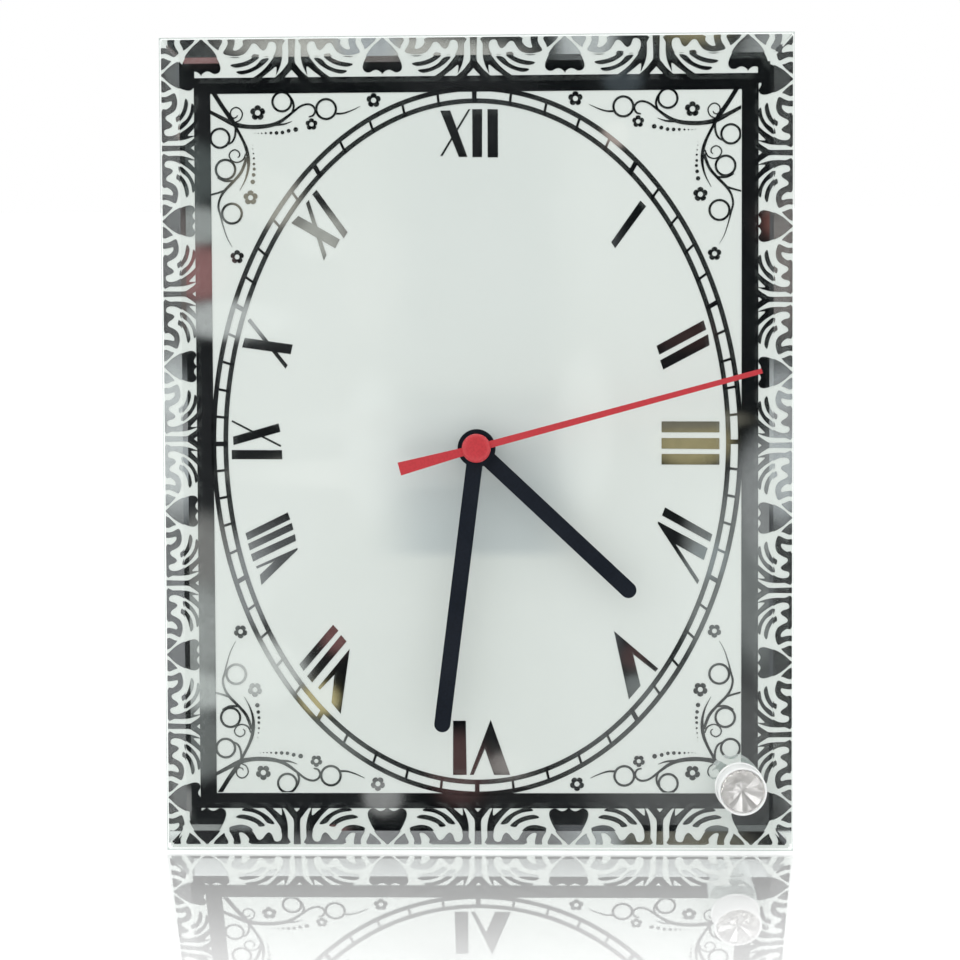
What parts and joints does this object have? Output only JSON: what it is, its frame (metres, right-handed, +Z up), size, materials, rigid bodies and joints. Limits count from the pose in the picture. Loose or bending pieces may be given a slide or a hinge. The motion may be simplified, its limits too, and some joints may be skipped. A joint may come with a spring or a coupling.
{
  "type": "standing glass clock",
  "caption": "Bevelled glass panel clock with a mirrored scroll border, oval Roman dial and three hands, leaning back on a single screwed rod leg and driven by a geared quartz movement behind.",
  "frame": {"origin": "centre of the footprint, on the surface the clock stands on", "axes": "+Z up from the surface, +X to the viewer's right when facing the dial, +Y to the back, so the dial faces -Y and leans back"},
  "size_m": [0.178, 0.0894, 0.2263],
  "materials": {
    "glass": "clear float glass with polished edges and a bevelled front",
    "mirror_film": "silvered film seen through the glass",
    "white_coat": "translucent white lacquer",
    "case_black": "moulded black, fine grain",
    "train_white": "moulded natural white",
    "brass": "plain sheet and turned",
    "steel": "plain sheet",
    "copper": "enamelled copper wire",
    "board_green": "lacquered board",
    "rubber_black": "soft matt",
    "hand_black": "satin black",
    "hand_red": "satin red",
    "crystal": "cut clear stone",
    "clear_plastic": "pale clear plastic",
    "chrome": "polished plate",
    "cell_sleeve": "plain printed sleeve"
  },
  "bodies": {
    "clock": {"glass_panel": "glass", "white_back_coat": "white_coat", "mirror_border": "mirror_film", "movement_case": "case_black", "movement_cover": "case_black", "train_plate": "train_white", "contact_positive": "brass", "contact_negative": "brass", "circuit_board": "board_green", "quartz_can": "steel", "chip": "case_black", "stator_plate": "steel", "coil_core": "steel", "coil_bobbin": "train_white", "coil_winding": "copper", "case_gasket": "rubber_black", "nut_washer": "steel", "fixing_nut": "brass", "stud_front_washer": "clear_plastic", "stud_cup": "clear_plastic", "stud_crystal": "crystal", "stud_rear_washer": "clear_plastic", "leg_rod": "chrome"},
    "second_hand": {"second_wheel": "train_white", "second_hand": "hand_red"},
    "minute_hand": {"minute_arbor": "brass", "minute_hand": "hand_black"},
    "hour_hand": {"hour_wheel": "train_white", "hour_hand": "hand_black"},
    "third_wheel": {"third_wheel": "train_white"},
    "centre_wheel": {"centre_wheel": "train_white"},
    "intermediate_wheel": {"intermediate_wheel": "train_white"},
    "rotor": {"rotor": "train_white"},
    "motion_wheel": {"motion_wheel": "train_white"},
    "setting_knob": {"setting_knob": "case_black"},
    "battery": {"battery_cell": "cell_sleeve"}
  },
  "joints": [
    {"name": "second_spin", "type": "hinge", "parent": "clock", "child": "second_hand", "pos_m": [0, -0.01318, 0.11223], "axis": [0, 0.981, -0.194], "continuous": true},
    {"name": "third_spin", "type": "hinge", "parent": "clock", "child": "third_wheel", "pos_m": [-0.01015, -0.01247, 0.11585], "axis": [0, 0.981, -0.194], "continuous": true},
    {"name": "centre_spin", "type": "hinge", "parent": "clock", "child": "centre_wheel", "pos_m": [0, -0.01318, 0.11223], "axis": [0, 0.981, -0.194], "continuous": true},
    {"name": "intermediate_spin", "type": "hinge", "parent": "clock", "child": "intermediate_wheel", "pos_m": [0.0049, -0.01154, 0.12055], "axis": [0, 0.981, -0.194], "continuous": true},
    {"name": "rotor_spin", "type": "hinge", "parent": "clock", "child": "rotor", "pos_m": [0.0081, -0.01046, 0.12599], "axis": [0, 0.981, -0.194], "continuous": true},
    {"name": "minute_spin", "type": "hinge", "parent": "clock", "child": "minute_hand", "pos_m": [0, -0.01318, 0.11223], "axis": [0, 0.981, -0.194], "continuous": true},
    {"name": "motion_spin", "type": "hinge", "parent": "clock", "child": "motion_wheel", "pos_m": [0.00846, -0.01378, 0.10921], "axis": [0, 0.981, -0.194], "continuous": true},
    {"name": "hour_spin", "type": "hinge", "parent": "clock", "child": "hour_hand", "pos_m": [0, -0.01318, 0.11223], "axis": [0, 0.981, -0.194], "continuous": true},
    {"name": "knob_spin", "type": "hinge", "parent": "clock", "child": "setting_knob", "pos_m": [0.01691, -0.01438, 0.10619], "axis": [0, 0.981, -0.194], "continuous": true},
    {"name": "battery_slide", "type": "slide", "parent": "clock", "child": "battery", "axis": [0, 0.981, -0.194], "range_m": [0, 0.02]}
  ],
  "couplings": [
    {"joint": "third_spin", "follows": "second_spin", "ratio": -0.13333},
    {"joint": "centre_spin", "follows": "second_spin", "ratio": 0.016667},
    {"joint": "intermediate_spin", "follows": "second_spin", "ratio": -6},
    {"joint": "rotor_spin", "follows": "second_spin", "ratio": 30},
    {"joint": "motion_spin", "follows": "minute_spin", "ratio": -0.33333},
    {"joint": "hour_spin", "follows": "minute_spin", "ratio": 0.083333},
    {"joint": "knob_spin", "follows": "minute_spin", "ratio": 1}
  ]
}
